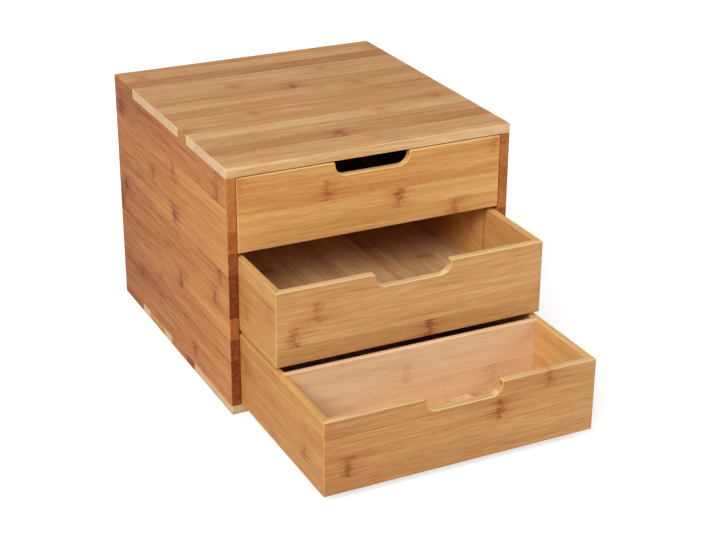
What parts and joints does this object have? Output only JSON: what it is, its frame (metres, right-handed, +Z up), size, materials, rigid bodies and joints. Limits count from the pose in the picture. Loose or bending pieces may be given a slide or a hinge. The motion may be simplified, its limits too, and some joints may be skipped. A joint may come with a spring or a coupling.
{
  "type": "desktop drawer chest",
  "caption": "Desk-top chest of laminated bamboo with sliding drawers, finger-notched fronts and a cross divider, for stationery and small parts.",
  "frame": {"origin": "centre of the case's bottom face, which is the face it stands on", "axes": "+Z up, the drawers open toward -Y, +X to the right seen from the front"},
  "size_m": [0.314, 0.525, 0.266],
  "materials": {
    "case_bamboo": "satin clear lacquer",
    "drawer_bamboo": "satin clear lacquer",
    "inner_bamboo": "plain sanded bamboo",
    "dowel_wood": "plain hardwood dowel"
  },
  "bodies": {
    "case": {"top_panel": "case_bamboo", "bottom_panel": "case_bamboo", "left_side_panel": "case_bamboo", "right_side_panel": "case_bamboo", "back_panel": "inner_bamboo", "left_upper_runner": "inner_bamboo", "right_upper_runner": "inner_bamboo", "left_lower_runner": "inner_bamboo", "right_lower_runner": "inner_bamboo", "top_dowels": "dowel_wood", "bottom_dowels": "dowel_wood"},
    "top_drawer": {"top_drawer_front": "drawer_bamboo", "top_drawer_left_side": "drawer_bamboo", "top_drawer_right_side": "drawer_bamboo", "top_drawer_back": "drawer_bamboo", "top_drawer_bottom": "inner_bamboo"},
    "middle_drawer": {"middle_drawer_front": "drawer_bamboo", "middle_drawer_left_side": "drawer_bamboo", "middle_drawer_right_side": "drawer_bamboo", "middle_drawer_back": "drawer_bamboo", "middle_drawer_bottom": "inner_bamboo"},
    "bottom_drawer": {"bottom_drawer_front": "drawer_bamboo", "bottom_drawer_left_side": "drawer_bamboo", "bottom_drawer_right_side": "drawer_bamboo", "bottom_drawer_back": "drawer_bamboo", "bottom_drawer_bottom": "inner_bamboo", "bottom_drawer_divider": "drawer_bamboo"}
  },
  "joints": [
    {"name": "top_drawer_slide", "type": "slide", "parent": "case", "child": "top_drawer", "axis": [0, -1, 0], "range_m": [0, 0.24]},
    {"name": "middle_drawer_slide", "type": "slide", "parent": "case", "child": "middle_drawer", "axis": [0, -1, 0], "range_m": [-0.09, 0.15]},
    {"name": "bottom_drawer_slide", "type": "slide", "parent": "case", "child": "bottom_drawer", "axis": [0, -1, 0], "range_m": [-0.195, 0.045]}
  ]
}
